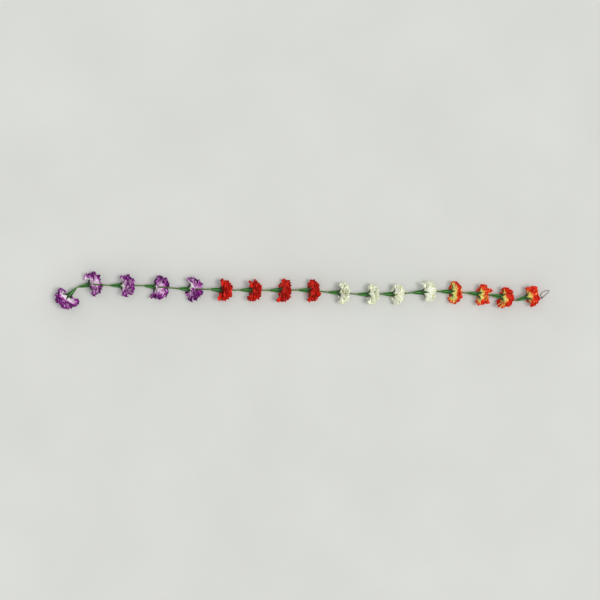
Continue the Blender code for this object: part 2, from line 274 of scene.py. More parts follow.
def ringed_tube(sides, radius, step, count):
    """An open tube along X from the origin, of one ring after the other"""
    bpy.ops.object.select_all(action="DESELECT")
    bpy.ops.mesh.primitive_circle_add(
        vertices=sides, radius=radius, fill_type="NOTHING", rotation=(0, math.pi / 2, 0))
    tube = bpy.context.object
    bpy.ops.object.transform_apply(location=True, rotation=True, scale=True)
    bpy.ops.object.mode_set(mode="EDIT")
    bpy.ops.mesh.select_all(action="SELECT")
    for _ in range(count):
        bpy.ops.mesh.extrude_region_move(TRANSFORM_OT_translate={"value": (step, 0, 0)})
    bpy.ops.mesh.select_all(action="SELECT")
    bpy.ops.mesh.normals_make_consistent(inside=False)
    bpy.ops.object.mode_set(mode="OBJECT")
    return tube


def read_points(mesh):
    points = np.empty(len(mesh.vertices) * 3)
    mesh.vertices.foreach_get("co", points)
    return points.reshape(-1, 3)


def write_points(mesh, points):
    mesh.vertices.foreach_set("co", points.ravel())
    mesh.update()


def finish_piece(piece, name, material):
    """Names a piece, gives it its finish, and says what it rides on"""
    piece.name = name
    piece.data.name = name
    piece.data.materials.clear()
    piece.data.materials.append(material)
    piece.data.shade_smooth()
    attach(piece, "root")


def flower_place(number):
    """The matrix of a flower: its origin at the calyx's narrow end, and +X the way it looks"""
    calyx = NODES[f"calyx_{number:02d}"]
    points = np.unique(read_points(calyx.data).round(6), axis=0)
    middle = points.mean(axis=0)
    way = np.linalg.svd(points - middle)[2][0]
    low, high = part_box(f"bloom_{number:02d}")
    if np.dot((np.array(low) + np.array(high)) / 2 - middle, way) < 0:
        way = -way
    start = middle + way * ((points - middle) @ way).min()
    start[2] = AXIS_HEIGHT
    return Matrix.Translation(start) @ Matrix.Rotation(math.atan2(way[1], way[0]), 4, "Z")


def add_node(tree, kind, settings=None, links=None):
    """Adds a shader node with its settings and links, by socket name or number"""
    node = tree.nodes.new(kind)
    for name, value in (settings or {}).items():
        if isinstance(name, int) or name in node.inputs:
            node.inputs[name].default_value = value
        else:
            setattr(node, name, value)
    for name, socket in (links or {}).items():
        tree.links.new(socket, node.inputs[name])
    return node


def set_ramp(node, stops, main):
    """Colours a ramp node by (station, hex colour) stops, with the main colour for None"""
    ramp = node.color_ramp
    while len(ramp.elements) > 1:
        ramp.elements.remove(ramp.elements[0])
    ramp.elements[0].position = stops[0][0]
    for station, _ in stops[1:]:
        ramp.elements.new(station)
    for element, (_, colour) in zip(ramp.elements, stops):
        element.color = linear(colour) if colour else (*main, 1)


def colour_property(name, description, hex_colour):
    """A colour that the user can change in the panel"""
    return FloatVectorProperty(
        name=name, description=description, default=linear(hex_colour)[:3],
        size=3, min=0.0, max=1.0, subtype="COLOR")


def new_material(name, **constants):
    """A material whose surface-wide values are set on the shader's own sockets"""
    material = bpy.data.materials.new(name)
    material.use_nodes = True
    shader = material.node_tree.nodes["Principled BSDF"]
    for socket, value in constants.items():
        shader.inputs[socket.replace("_", " ")].default_value = value
    return material, material.node_tree, shader


def dress_surface(tree, shader, colour, rough, bump):
    """Links a surface's colour, roughness and relief to its shader"""
    for name, node in (("Base Color", colour), ("Roughness", rough), ("Normal", bump)):
        tree.links.new(node.outputs[0], shader.inputs[name])


def woven_petal_fabric(name, dye_colour):
    """Printed polyester taffeta, die-cut and heat-crimped: a matt cloth with a faint sheen, its dye
    sprayed on from the edge so that it fades to the root in fine streaks along the petal."""
    material, tree, shader = new_material(
        f"{name} petal taffeta", Metallic=0.0, Specular_IOR_Level=0.20, Sheen_Weight=0.05,
        Sheen_Roughness=0.45, Subsurface_Weight=0.5, Subsurface_Radius=(1, 1, 1),
        Subsurface_Scale=0.6 * MM)
    place = add_node(tree, "ShaderNodeUVMap", {"uv_map": "petal"}).outputs["UV"]
    split = add_node(tree, "ShaderNodeSeparateXYZ", links={"Vector": place})
    fan = add_node(tree, "ShaderNodeMapping", {"Scale": (17.0, 1.3, 1.0)}, {"Vector": place})
    streaks = add_node(tree, "ShaderNodeTexNoise", {"Scale": 1.0, "Detail": 4.0},
                       {"Vector": fan.outputs["Vector"]})
    patch = add_node(tree, "ShaderNodeMapping", {"Scale": (2.6, 2.2, 1.0)}, {"Vector": place})
    blots = add_node(tree, "ShaderNodeTexNoise", {"Scale": 1.0, "Detail": 2.0},
                     {"Vector": patch.outputs["Vector"]})
    mixed = add_node(tree, "ShaderNodeMath", {"operation": "ADD"},
                     {0: streaks.outputs["Fac"], 1: blots.outputs["Fac"]})
    shift = add_node(tree, "ShaderNodeMath", {"operation": "SUBTRACT", 1: 1.0},
                     {0: mixed.outputs[0]})
    spread = add_node(tree, "ShaderNodeMath", {"operation": "MULTIPLY", 1: STREAKS[name]},
                      {0: shift.outputs[0]})
    station = add_node(tree, "ShaderNodeMath", {"operation": "ADD"},
                       {0: split.outputs["Y"], 1: spread.outputs[0]})
    dye = add_node(tree, "ShaderNodeValToRGB", links={"Fac": station.outputs[0]})
    set_ramp(dye, FABRICS[name], dye_colour)
    veins = add_node(tree, "ShaderNodeMapping", {"Scale": (60.0, 2.0, 1.0)}, {"Vector": place})
    crimp = add_node(tree, "ShaderNodeTexNoise", {"Scale": 1.0, "Detail": 2.0},
                     {"Vector": veins.outputs["Vector"]})
    tone = add_node(tree, "ShaderNodeMapRange",
                    {"From Min": 0.3, "From Max": 0.7, "To Min": 0.86, "To Max": 1.10},
                    {"Value": crimp.outputs["Fac"]})
    colour = add_node(tree, "ShaderNodeVectorMath", {"operation": "SCALE"},
                      {0: dye.outputs["Color"], "Scale": tone.outputs[0]})
    rough = add_node(tree, "ShaderNodeMapRange", {"To Min": 0.72, "To Max": 0.90},
                     {"Value": blots.outputs["Fac"]})
    # A petal is about 38 mm wide and 40 mm long. Its threads lie 0.25 mm apart, too fine to show,
    # so they are drawn 0.6 mm apart.
    warp = add_node(tree, "ShaderNodeTexWave", {"bands_direction": "X", "Scale": 20.0},
                    {"Vector": place})
    weft = add_node(tree, "ShaderNodeTexWave", {"bands_direction": "Y", "Scale": 21.0},
                    {"Vector": place})
    cloth = add_node(tree, "ShaderNodeMath", {"operation": "MULTIPLY"},
                     {0: warp.outputs["Fac"], 1: weft.outputs["Fac"]})
    relief = add_node(tree, "ShaderNodeMath", {"operation": "ADD"},
                      {0: cloth.outputs[0], 1: crimp.outputs["Fac"]})
    bump = add_node(tree, "ShaderNodeBump", {"Strength": 0.35, "Distance": 0.3 * MM},
                    {"Height": relief.outputs[0]})
    dress_surface(tree, shader, colour, rough, bump)
    return material


def moulded_calyx_plastic(name, green):
    """Injection-moulded polyethylene: a waxy satin green with a painted highlight on the rib
    crests and painted shade between them, nearly black in the folds between the sepals, with
    faint flow lines along the mould."""
    material, tree, shader = new_material(
        name, Metallic=0.0, IOR=1.51, Specular_IOR_Level=0.32)
    along = add_node(tree, "ShaderNodeAttribute", {"attribute_name": "along"})
    place = add_node(tree, "ShaderNodeTexCoord").outputs["Object"]
    cloud = add_node(tree, "ShaderNodeTexNoise", {"Scale": 260.0, "Detail": 4.0},
                     {"Vector": place})
    drift = add_node(tree, "ShaderNodeMath", {"operation": "MULTIPLY_ADD", 1: 0.30, 2: -0.15},
                     {0: cloud.outputs["Fac"]})
    station = add_node(tree, "ShaderNodeMath", {"operation": "ADD"},
                       {0: along.outputs["Fac"], 1: drift.outputs[0]})
    shade = add_node(tree, "ShaderNodeValToRGB", links={"Fac": station.outputs[0]})
    set_ramp(shade, ((0.0, "#56782C"), (0.12, "#285F1C"), (0.40, None), (0.58, "#20541A"),
                     (0.70, "#0C3206"), (1.0, "#0F3A08")), green)
    rib = add_node(tree, "ShaderNodeAttribute", {"attribute_name": "rib"})
    # Painted highlight and shade: the colour is scaled up to 2.6 times on the rib crests and down
    # to 0.45 times between them
    rib_highlight_and_shade = add_node(tree, "ShaderNodeMapRange", {"To Min": 0.45, "To Max": 2.6},
                    {"Value": rib.outputs["Fac"]})
    colour = add_node(tree, "ShaderNodeVectorMath", {"operation": "SCALE"},
                      {0: shade.outputs["Color"], "Scale": rib_highlight_and_shade.outputs[0]})
    rough = add_node(tree, "ShaderNodeMapRange", {"To Min": 0.24, "To Max": 0.38},
                     {"Value": cloud.outputs["Fac"]})
    bump = add_node(tree, "ShaderNodeBump", {"Strength": 0.25, "Distance": 0.4 * MM},
                    {"Height": cloud.outputs["Fac"]})
    dress_surface(tree, shader, colour, rough, bump)
    return material


def extruded_tube_plastic(name, olive):
    """Extruded soft vinyl tube: olive green, a little uneven in tone, with a dull surface and the
    fine scuffs of being threaded."""
    material, tree, shader = new_material(
        name, Metallic=0.0, IOR=1.53, Specular_IOR_Level=0.12)
    place = add_node(tree, "ShaderNodeTexCoord").outputs["Object"]
    tone = add_node(tree, "ShaderNodeTexNoise", {"Scale": 120.0, "Detail": 3.0},
                    {"Vector": place})
    scuffs = add_node(tree, "ShaderNodeTexNoise", {"Scale": 900.0, "Detail": 3.0},
                      {"Vector": place})
    shade = add_node(tree, "ShaderNodeValToRGB", links={"Fac": tone.outputs["Fac"]})
    set_ramp(shade, ((0.30, "#304D04"), (0.50, None), (0.70, "#5A7E10")), olive)
    rough = add_node(tree, "ShaderNodeMapRange", {"To Min": 0.42, "To Max": 0.68},
                     {"Value": scuffs.outputs["Fac"]})
    bump = add_node(tree, "ShaderNodeBump", {"Strength": 0.2, "Distance": 0.2 * MM},
                    {"Height": scuffs.outputs["Fac"]})
    dress_surface(tree, shader, shade, rough, bump)
    return material


def spun_thread(name, brown):
    """Spun polyester sewing thread: dull brown with a maroon cast and hairy, uneven plies"""
    material, tree, shader = new_material(
        name, Metallic=0.0, Specular_IOR_Level=0.25, Sheen_Weight=0.3, Sheen_Roughness=0.5)
    place = add_node(tree, "ShaderNodeTexCoord").outputs["Object"]
    fibres = add_node(tree, "ShaderNodeTexNoise", {"Scale": 2400.0, "Detail": 4.0},
                      {"Vector": place})
    shade = add_node(tree, "ShaderNodeValToRGB", links={"Fac": fibres.outputs["Fac"]})
    set_ramp(shade, ((0.30, "#3A2226"), (0.55, None), (0.75, "#785657")), brown)
    rough = add_node(tree, "ShaderNodeMapRange", {"To Min": 0.75, "To Max": 0.95},
                     {"Value": fibres.outputs["Fac"]})
    bump = add_node(tree, "ShaderNodeBump", {"Strength": 0.4, "Distance": 0.2 * MM},
                    {"Height": fibres.outputs["Fac"]})
    dress_surface(tree, shader, shade, rough, bump)
    return material


def studio_paper(name, grey):
    """Matt pale grey backdrop paper with a very faint mottle"""
    material, tree, shader = new_material(
        name, Metallic=0.0, Specular_IOR_Level=0.15, Roughness=0.9)
    place = add_node(tree, "ShaderNodeTexCoord").outputs["Object"]
    mottle = add_node(tree, "ShaderNodeTexNoise", {"Scale": 3.0, "Detail": 3.0},
                      {"Vector": place})
    shade = add_node(tree, "ShaderNodeValToRGB", links={"Fac": mottle.outputs["Fac"]})
    set_ramp(shade, ((0.3, "#BFC0BC"), (0.7, None)), grey)
    tree.links.new(shade.outputs["Color"], shader.inputs["Base Color"])
    return material


class BloomSettings(bpy.types.PropertyGroup):
    ruffle: FloatProperty(
        name="Ruffle", description="Height of the waves along a petal's edge",
        default=5.0 * MM, min=0.0, unit="LENGTH")
    pink: FloatProperty(
        name="Pinking", description="Depth of the teeth that the edge is cut in",
        default=0.6 * MM, min=0.0, unit="LENGTH")
    thickness: FloatProperty(
        name="Fabric", description="Thickness of the petal fabric",
        default=0.35 * MM, min=0.0, unit="LENGTH")
    seed: IntProperty(
        name="Seed", description="Draws another set of ruffles", default=7)
    purple: colour_property("Purple", "Full dye of the purple petals", "#921A90")
    red: colour_property("Red", "Full dye of the red petals", "#DD1C08")
    white: colour_property("White", "Fabric of the white petals", "#FAFCE3")
    orange: colour_property("Orange", "Full dye of the orange petals", "#EE3014")


class CalyxSettings(bpy.types.PropertyGroup):
    wall: FloatProperty(
        name="Wall", description="Thickness of the moulded wall",
        default=0.8 * MM, min=0.0, unit="LENGTH")
    sepal: FloatProperty(
        name="Sepals", description="Length of the five pointed sepals past the rim",
        default=17.0 * MM, min=0.0, unit="LENGTH")
    green: colour_property("Green", "Plastic of the calyces", "#2D661E")


class TubeSettings(bpy.types.PropertyGroup):
    wall: FloatProperty(
        name="Wall", description="Thickness of the tube's wall",
        default=0.6 * MM, min=0.0, unit="LENGTH")
    olive: colour_property("Olive", "Vinyl of the tubes", "#446C06")


class LoopSettings(bpy.types.PropertyGroup):
    turn: FloatProperty(
        name="Ply turn", description="Length of thread in which its plies turn round once",
        default=5.0 * MM, min=0.001, unit="LENGTH")
    brown: colour_property("Brown", "Thread of the loop and in the flowers", "#5A3A3D")


class StageSettings(bpy.types.PropertyGroup):
    sun: FloatProperty(
        name="Key light", description="Strength of the soft key light", default=1.65, min=0.0)
    sky: FloatProperty(
        name="Fill light", description="Strength of the even fill light", default=0.84, min=0.0)
    paper: colour_property("Paper", "Backdrop paper", "#C4C5C1")


def petal_table(number, settings):
    """One row of values for each petal of a flower, as arrays"""
    flower = FLOWERS[number - 1]
    draw = random.Random(settings.seed * 100 + number)
    growth = flower.reach / PATH_REACH
    rows = []
    start = draw.uniform(0, math.tau)
    for level, layer in enumerate(LAYERS):
        step = math.tau / layer.petals
        (root_r, root_x), (guide_r, guide_x), (edge_r, edge_x) = layer.path
        edge_x += flower.outer + (flower.inner - flower.outer) * layer.inner
        opened = level >= OPENED.get(number, len(LAYERS))
        part = OPEN_GAP if opened else flower.gap
        ring = []

        # No petal is quite like its neighbour: each value is drawn from its own narrow range
        for index in range(layer.petals):
            turn = start + (index + 0.5 * (level % 2)) * step + draw.uniform(-0.14, 0.14)
            turn = math.remainder(turn, math.tau)
            turn = math.copysign(part + abs(turn) * (1 - part / math.pi), turn)
            ahead = flower.fold * (1 - layer.inner) * max(0.0, math.cos(turn)) ** FOLD_POWER
            ring.append({
                "turn": turn,
                "root_r": root_r, "root_x": root_x,
                "guide_r": guide_r * growth, "guide_x": guide_x + draw.uniform(-1.5, 1.5),
                "edge_r": edge_r * growth * draw.uniform(0.94, 1.03) - FOLD_DRAW * ahead,
                "edge_x": edge_x + ahead + draw.uniform(-1.5, 1.5),
                "half_width": layer.half_width * growth * draw.uniform(0.90, 1.08),
                "slide": layer.slide,
                "wave": draw.uniform(0.8, 1.25) * (1 - 0.07 * level) * flower.ruffle,
                "folds": draw.uniform(1.2, 2.2), "phase": draw.uniform(0, math.tau),
                "fine_folds": draw.uniform(3.5, 5.5), "fine_phase": draw.uniform(0, math.tau),
                "twist": draw.uniform(-0.16, 0.16),
                "lift": draw.uniform(0.2, 0.9),
                "dye": flower.dye,
                "side": math.copysign(opened, turn),
            })
        strays = [row[2:] for row in STRAYS if row[:2] == (number, level)]
        for turn, further, ahead, width, dye_run in strays:
            petal = min(ring, key=lambda row: abs(math.remainder(row["turn"] - turn, math.tau)))
            petal["turn"] = turn
            petal["edge_r"] += further
            petal["edge_x"] += ahead
            petal["guide_x"] += STRAY_FOLLOW * ahead
            petal["half_width"] *= width
            petal["dye"] += dye_run
        rows += ring
    return {key: np.array([row[key] for row in rows]) for key in rows[0]}


def petal_path(t, root, guide, edge):
    """Reach and forward of the places t on a petal's path, and of the way its inside looks"""
    stations = list(zip(root, guide, edge))
    reach, forward = (
        (1 - t) ** 2 * start + 2 * t * (1 - t) * middle + t ** 2 * end
        for start, middle, end in stations)
    slope_r, slope_x = (
        (1 - t) * (middle - start) + t * (end - middle) for start, middle, end in stations)
    length = np.hypot(slope_r, slope_x)
    return reach, forward, -slope_x / length, slope_r / length


def tube_slope(number):
    """How far the tube in front of a flower goes aside for the way that it goes forward"""
    if number == FLOWER_COUNT:
        return 0.0
    start = flower_place(number).inverted() @ flower_place(number + 1).translation
    return start.y / (start.x - CORE_FRONT)


def ruffled_points(flat, number, table, settings):
    """Where the points of a stack of flat petals go on a flower, in the flower's own axes"""
    flower = FLOWERS[number - 1]
    which = flat[:, 2].round().astype(int)
    row = {key: values[which] for key, values in table.items()}
    across = flat[:, 0]
    along = (flat[:, 1] + 1) / 2
    corners = [(row[f"{place}_r"], row[f"{place}_x"]) for place in ("root", "guide", "edge")]
    reach, forward, normal_r, normal_x = petal_path(along, *corners)

    # The outline: rounded corners, and pinked teeth along the last row of points
    column = ((across + 1) / 2 * COLUMNS).round().astype(int)
    tooth = np.where(column % 2 == 1, settings.pink, 0) * (along > 1 - 0.5 / ROWS)
    rounding = 1 - CORNER_ROUND * np.abs(across) ** 4 * along ** 2
    spread = ROOT_WIDTH + (1 - ROOT_WIDTH) * np.sin(along * math.pi / 2) ** 1.25
    half_width = row["half_width"] * MM * spread

    # The ruffles grow towards the edge, in deep folds with finer ones on them
    fold = row["phase"] + row["folds"] * math.pi * across
    fine = row["fine_phase"] + row["fine_folds"] * math.pi * across
    height = settings.ruffle * row["wave"]
    rise = height * along ** 1.7 * np.sin(fold)
    rise += height * FINE_FOLDS * along ** 3 * np.sin(fine + 2.0 * along)
    rise *= 1 - SIDE_FLATNESS * across ** 6
    twist = row["twist"] - flower.squash * np.sin(row["turn"])
    rise += twist * across * half_width * along
    sway = height * FOLD_SWAY * along ** 2 * np.sin(2 * fold)

    reach = reach * MM * rounding - tooth + normal_r * rise
    forward = forward * MM + normal_x * rise
    angle = row["turn"] + (across * half_width + sway) / (np.maximum(reach, 0) + ROOT_ROOM)
    points = np.stack([forward, reach * np.sin(angle), reach * np.cos(angle)], axis=1)

    # The flower leans over, the more so towards its edge
    lean = math.radians(flower.lean) * along
    ahead = points[:, 0] - LEAN_FROM
    aside = points[:, 1].copy()
    points[:, 0] = LEAN_FROM + ahead * np.cos(lean) - aside * np.sin(lean)
    points[:, 1] = ahead * np.sin(lean) + aside * np.cos(lean)

    # Parted petals stay beside the tube
    tube = tube_slope(number) * np.maximum(points[:, 0] - CORE_FRONT, 0)
    aside = row["side"] * np.maximum(row["side"] * (points[:, 1] - tube), TUBE_ROOM) + tube
    beside = (row["side"] != 0) & (points[:, 2] > 0)
    points[beside, 1] = aside[beside]

    # What would pass the surface lies along it, nearly flat
    floor = settings.thickness / 2 + FLOOR_CLEARANCE + row["lift"] * MM - AXIS_HEIGHT
    under = floor - points[:, 2]
    pressed = under > 0
    points[pressed, 2] = (floor - row["lift"] * MM * np.tanh(under / PRESS_DEPTH))[pressed]
    points[pressed, 0] += (row["slide"] * under)[pressed]
    return points


class HANGING_OT_blooms(bpy.types.Operator):
    """Makes the ruffled fabric blooms, each in layers of pinked petals round a plug"""

    bl_idname = "hanging.blooms"
    bl_label = "Blooms"

    # The plug: a cone that widens to the front, and then narrows by steps to its bore
    PLUG_SIDES = 24
    PLUG_MIDDLE = 21.5 * MM
    PLUG_LENGTH = 19 * MM
    PLUG_RADII = (2.8 * MM, 5.6 * MM)
    PLUG_STEPS = ((6 * MM, 0.80), (5.5 * MM, 0.72), (0, 0.42))
    PLUG_WALL = 0.8 * MM

    def execute(self, context):
        settings = context.scene.hanging_blooms
        stack = self.flat_stack()
        plug = self.plug()
        fabrics = {name: woven_petal_fabric(name, getattr(settings, name)) for name in FABRICS}
        flat = read_points(stack.data)
        places = np.empty(len(stack.data.loops) * 2)
        stack.data.uv_layers[0].uv.foreach_get("vector", places)
        for number, flower in enumerate(FLOWERS, 1):
            bloom = own_copy(stack)
            table = petal_table(number, settings)
            write_points(bloom.data, ruffled_points(flat, number, table, settings))
            self.shift_dye(bloom.data, places.reshape(-1, 2), number, table["dye"])
            thicken(bloom, settings.thickness, offset=0)
            activate(bloom, own_copy(plug))
            bpy.ops.object.join()
            bloom.data.transform(flower_place(number))
            finish_piece(bloom, f"fabric_bloom_{number:02d}",
                         fabrics[flower.fabric])
            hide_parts(f"bloom_{number:02d}")
        for spent in (stack, plug):
            bpy.data.objects.remove(spent)
        return {"FINISHED"}

    def shift_dye(self, mesh, places, number, run):
        """Gives a flower its own streaks, and lets the dye of each petal run in as far as it did"""
        across, along = places[:, 0] + PATTERN_STEP * number, places[:, 1]
        petal = np.arange(len(along)) * PETAL_COUNT // len(along)
        bare = np.minimum(run[petal] - BARE_FROM, 0) * along ** 2
        along = along + run[petal] * 2 * along * (1 - along) + bare
        shifted = np.stack([across, along], axis=1)
        mesh.uv_layers[0].uv.foreach_set("vector", shifted.ravel())

    def flat_stack(self):
        """All of a flower's petals as flat grids, one over the other, each with its own place
        in the map"""
        bpy.ops.object.select_all(action="DESELECT")
        bpy.ops.mesh.primitive_grid_add(
            x_subdivisions=COLUMNS, y_subdivisions=ROWS, size=2, calc_uvs=True)
        stack = bpy.context.object
        stack.data.uv_layers[0].name = "petal"
        array = stack.modifiers.new("petals", "ARRAY")
        array.count = PETAL_COUNT
        array.use_relative_offset = False
        array.use_constant_offset = True
        array.constant_offset_displace = (0, 0, 1)
        array.offset_u = 1.0
        apply_modifiers(stack)
        return stack

    def plug(self):
        """The tapered plug that the petals are fused to, with a bore for the thread"""
        bpy.ops.object.select_all(action="DESELECT")
        bpy.ops.mesh.primitive_cone_add(
            vertices=self.PLUG_SIDES, radius1=self.PLUG_RADII[0], radius2=self.PLUG_RADII[1],
            depth=self.PLUG_LENGTH, end_fill_type="NOTHING",
            location=(self.PLUG_MIDDLE, 0, 0), rotation=(0, math.pi / 2, 0))
        plug = bpy.context.object
        bpy.ops.object.transform_apply(location=True, rotation=True, scale=True)
        bpy.ops.object.mode_set(mode="EDIT")
        bpy.ops.mesh.select_all(action="DESELECT")
        bpy.ops.object.mode_set(mode="OBJECT")
        for vertex in plug.data.vertices:
            vertex.select = vertex.co.x > self.PLUG_MIDDLE
        for edge in plug.data.edges:
            edge.select = all(plug.data.vertices[i].select for i in edge.vertices)
        bpy.ops.object.mode_set(mode="EDIT")
        for step, size in self.PLUG_STEPS:
            bpy.ops.mesh.extrude_region_move(TRANSFORM_OT_translate={"value": (step, 0, 0)})
            bpy.ops.transform.resize(value=(1, size, size))
        bpy.ops.object.mode_set(mode="OBJECT")
        thicken(plug, self.PLUG_WALL)
        plug.data.uv_layers[0].name = "petal"
        for place in plug.data.uv_layers[0].data:
            place.uv = (place.uv[0], ROOT_STATION)
        return plug


class HANGING_OT_calyces(bpy.types.Operator):
    """Makes the moulded green calyces with their pointed sepals"""

    bl_idname = "hanging.calyces"
    bl_label = "Calyces"

    # The cup's stations and radii in mm, and the rings and number of its sepals
    SIDES = 40
    STATIONS = ((0.0, 2.3), (0.4, 2.6), (4.0, 3.4), (9.0, 4.4), (14.0, 5.3), (20.0, 6.2),
                (26.0, 7.0), (30.0, 7.5))
    SEPAL_RINGS = 8
    SEPALS = 5

    # A flower with a sepal that is drawn out further: which one, and how long it is
    LONG_SEPALS = {1: (4, 2.2)}

    # The sepals: where on the petals' path they begin and may end, the length of that path, the
    # share of a sepal in which it leaves the cup for the path, the gap between sepals and petals
    # in mm, at their roots and how much more at their tips, the blunting of their tips, and their
    # lowest place over the surface
    SEPAL_START = 0.10
    SEPAL_END = 0.95
    PATH_LENGTH = 30 * MM
    LEAVING = 0.3
    SEPAL_GAP = 1.2
    TIP_GAP = 8.0
    TIP_BLUNTNESS = 0.05
    SEPAL_FLOOR = 1.5 * MM

    # The ribs: their height against the radius, the rings over which they rise to it, and how far
    # each calyx is rolled round from the one before
    RIB_HEIGHT = 0.05
    RIB_RINGS = 6
    ROLL_STEP = math.radians(11)

    # How much of the plastic's colour ramp the cup and the sepals take up
    CUP_SHARE = 0.66
    SEPAL_SHARE = 0.25

    def execute(self, context):
        settings = context.scene.hanging_calyces
        cup = ringed_tube(self.SIDES, 1 * MM, 1 * MM, len(self.STATIONS) + self.SEPAL_RINGS - 1)
        rings = (read_points(cup.data)[:, 0] / MM).round().astype(int)
        plastic = moulded_calyx_plastic("calyx polyethylene", settings.green)
        for number in range(1, FLOWER_COUNT + 1):
            calyx = own_copy(cup)
            self.shape(calyx.data, rings, number, settings)
            thicken(calyx, settings.wall)
            calyx.data.transform(flower_place(number))
            finish_piece(calyx, f"moulded_calyx_{number:02d}", plastic)
            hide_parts(f"calyx_{number:02d}")
        bpy.data.objects.remove(cup)
        return {"FINISHED"}

    def shape(self, mesh, rings, number, settings):
        """Gives the rings their stations, and draws the last ones out into five sepals"""
        flower = FLOWERS[number - 1]
        draw = random.Random(500 + number)
        points = read_points(mesh)
        angle = np.arctan2(points[:, 1], points[:, 2])
        roll = self.ROLL_STEP * number
        sector = math.tau / self.SEPALS
        turned = (angle - roll) / sector
        which = np.round(turned).astype(int) % self.SEPALS
        off_middle = np.abs(turned - np.round(turned)) * 2
        lengths = np.array([draw.uniform(0.9, 1.25) for _ in range(self.SEPALS)])
        spreads = np.array([draw.uniform(0.75, 1.15) for _ in range(self.SEPALS)])
        if number in self.LONG_SEPALS:
            place, length = self.LONG_SEPALS[number]
            lengths[place] = length
        station, radius = np.array(self.STATIONS).T
        rim = len(self.STATIONS) - 1
        body = np.minimum(rings, rim)
        share = np.maximum(rings - rim, 0) / self.SEPAL_RINGS

        # A sepal runs on from the cup along the backs of the outer petals, and its sides draw in
        # to a point
        centre = roll + which * sector
        root, guide, (edge_r, edge_x) = LAYERS[0].path
        ahead = flower.fold * np.maximum(np.cos(centre), 0) ** FOLD_POWER
        edge_r = edge_r * flower.reach / PATH_REACH - FOLD_DRAW * ahead
        edge_x = edge_x + flower.outer + ahead
        out = share * (lengths[which] * (1 - off_middle) ** 1.4 + self.TIP_BLUNTNESS)
        run = settings.sepal / self.PATH_LENGTH * out * spreads[which]
        t = np.minimum(self.SEPAL_START + run, self.SEPAL_END)
        petal_r, petal_x, normal_r, normal_x = petal_path(t, root, guide, (edge_r, edge_x))
        clear = self.SEPAL_GAP + self.TIP_GAP * t ** 1.7
        blend = np.minimum(out / self.LEAVING, 1)
        blend = blend * blend * (3 - 2 * blend)
        forward = station[body] + (petal_x - normal_x * clear - station[body]) * blend
        reach = radius[body] + (petal_r - normal_r * clear - radius[body]) * blend
        forward *= MM
        rib = np.cos(self.SEPALS * (angle - roll))
        rib_share = np.minimum(rings, self.RIB_RINGS) / self.RIB_RINGS
        reach *= MM * (1 + self.RIB_HEIGHT * rib * rib_share)
        swing = np.arctan2(np.sin(angle - centre), np.cos(angle - centre))
        narrowing = np.where(share > 0, (radius[rim] * MM / reach) ** 0.8, 1)
        around = centre + swing * narrowing
        points[:, 0] = forward
        points[:, 1] = reach * np.sin(around)
        points[:, 2] = np.maximum(reach * np.cos(around), self.SEPAL_FLOOR - AXIS_HEIGHT)
        write_points(mesh, points)

        # What the plastic's colour goes by: the place from the stem to a sepal's tip, and the rib
        # crests, which get a painted highlight, with painted shade between them
        along = mesh.attributes.new("along", "FLOAT", "POINT")
        value = self.CUP_SHARE * station[body] * MM / CALYX_LENGTH + self.SEPAL_SHARE * share
        along.data.foreach_set("value", value.astype(np.float32))
        rib_highlight_mask = mesh.attributes.new("rib", "FLOAT", "POINT")
        rib_highlight_mask.data.foreach_set("value", (((rib + 1) / 2) ** 4).astype(np.float32))


class HANGING_OT_sleeves(bpy.types.Operator):
    """Makes the olive tubes that space the flowers, and finishes the thread in them"""

    bl_idname = "hanging.sleeves"
    bl_label = "Spacer tubes"

    SIDES = 20
    RINGS = 16
    RADIUS = 1.9 * MM

    # A tube shorter than this is too short to show its own direction
    SHORT = 9 * MM

    # How far the ends are pinched, over what length, and how uneven the girth is
    PINCH = 0.10
    PINCH_LENGTH = 0.8 * MM
    UNEVENNESS = 0.025

    def execute(self, context):
        settings = context.scene.hanging_tubes
        tube = ringed_tube(self.SIDES, self.RADIUS, 1 / self.RINGS, self.RINGS)
        thicken(tube, settings.wall)
        flat = read_points(tube.data)
        vinyl = extruded_tube_plastic("olive vinyl tube", settings.olive)
        for number in range(1, FLOWER_COUNT):
            start, way, length = self.place(f"sleeve_{number:02d}")
            sleeve = own_copy(tube)
            self.shape(sleeve.data, flat, length, number)
            turn = Matrix.Rotation(math.atan2(way[1], way[0]), 4, "Z")
            sleeve.data.transform(Matrix.Translation(start) @ turn)
            finish_piece(sleeve, f"spacer_tube_{number:02d}", vinyl)
            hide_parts(f"sleeve_{number:02d}")
        bpy.data.objects.remove(tube)
        thread = NODES["thread"]
        thread.data.materials.clear()
        thread.data.materials.append(
            spun_thread("thread in the flowers", context.scene.hanging_loop.brown))
        return {"FINISHED"}

    def place(self, name):
        """Start, direction and length of a tube, from its CAD node"""
        points = np.unique(read_points(NODES[name].data).round(6), axis=0)
        middle = points.mean(axis=0)
        if np.ptp(points, axis=0).max() > self.SHORT:
            way = np.linalg.svd(points - middle)[2][0]
        else:
            way = flower_place(2).translation - flower_place(1).translation
            way = np.array(way.normalized())
        if way[0] < 0:
            way = -way
        along = (points - middle) @ way
        return Vector(middle + way * along.min()), way, along.max() - along.min()

    def shape(self, mesh, flat, length, number):
        """Stretches the tube to its length, with slightly pinched ends and uneven girth"""
        points = flat.copy()
        share = points[:, 0]
        from_end = np.minimum(share, 1 - share) * length
        pinch = 1 - self.PINCH * np.exp(-from_end / self.PINCH_LENGTH)
        girth = pinch * (1 + self.UNEVENNESS * np.sin(share * 19 + number))
        points[:, 1:] *= girth[:, None]
        points[:, 0] *= length
        write_points(mesh, points)


def smooth_route(corners, pieces):
    """Points of a smooth curve through the corners"""
    points = []
    padded = [corners[0] * 2 - corners[1], *corners, corners[-1] * 2 - corners[-2]]
    for before, start, end, after in zip(padded, padded[1:], padded[2:], padded[3:]):
        for step in range(pieces):
            t = step / pieces
            points.append(0.5 * (
                start * 2
                + (end - before) * t
                + (before * 2 - start * 5 + end * 4 - after) * t ** 2
                + (start * 3 - before - end * 3 + after) * t ** 3
            ))
    points.append(corners[-1])
    return points


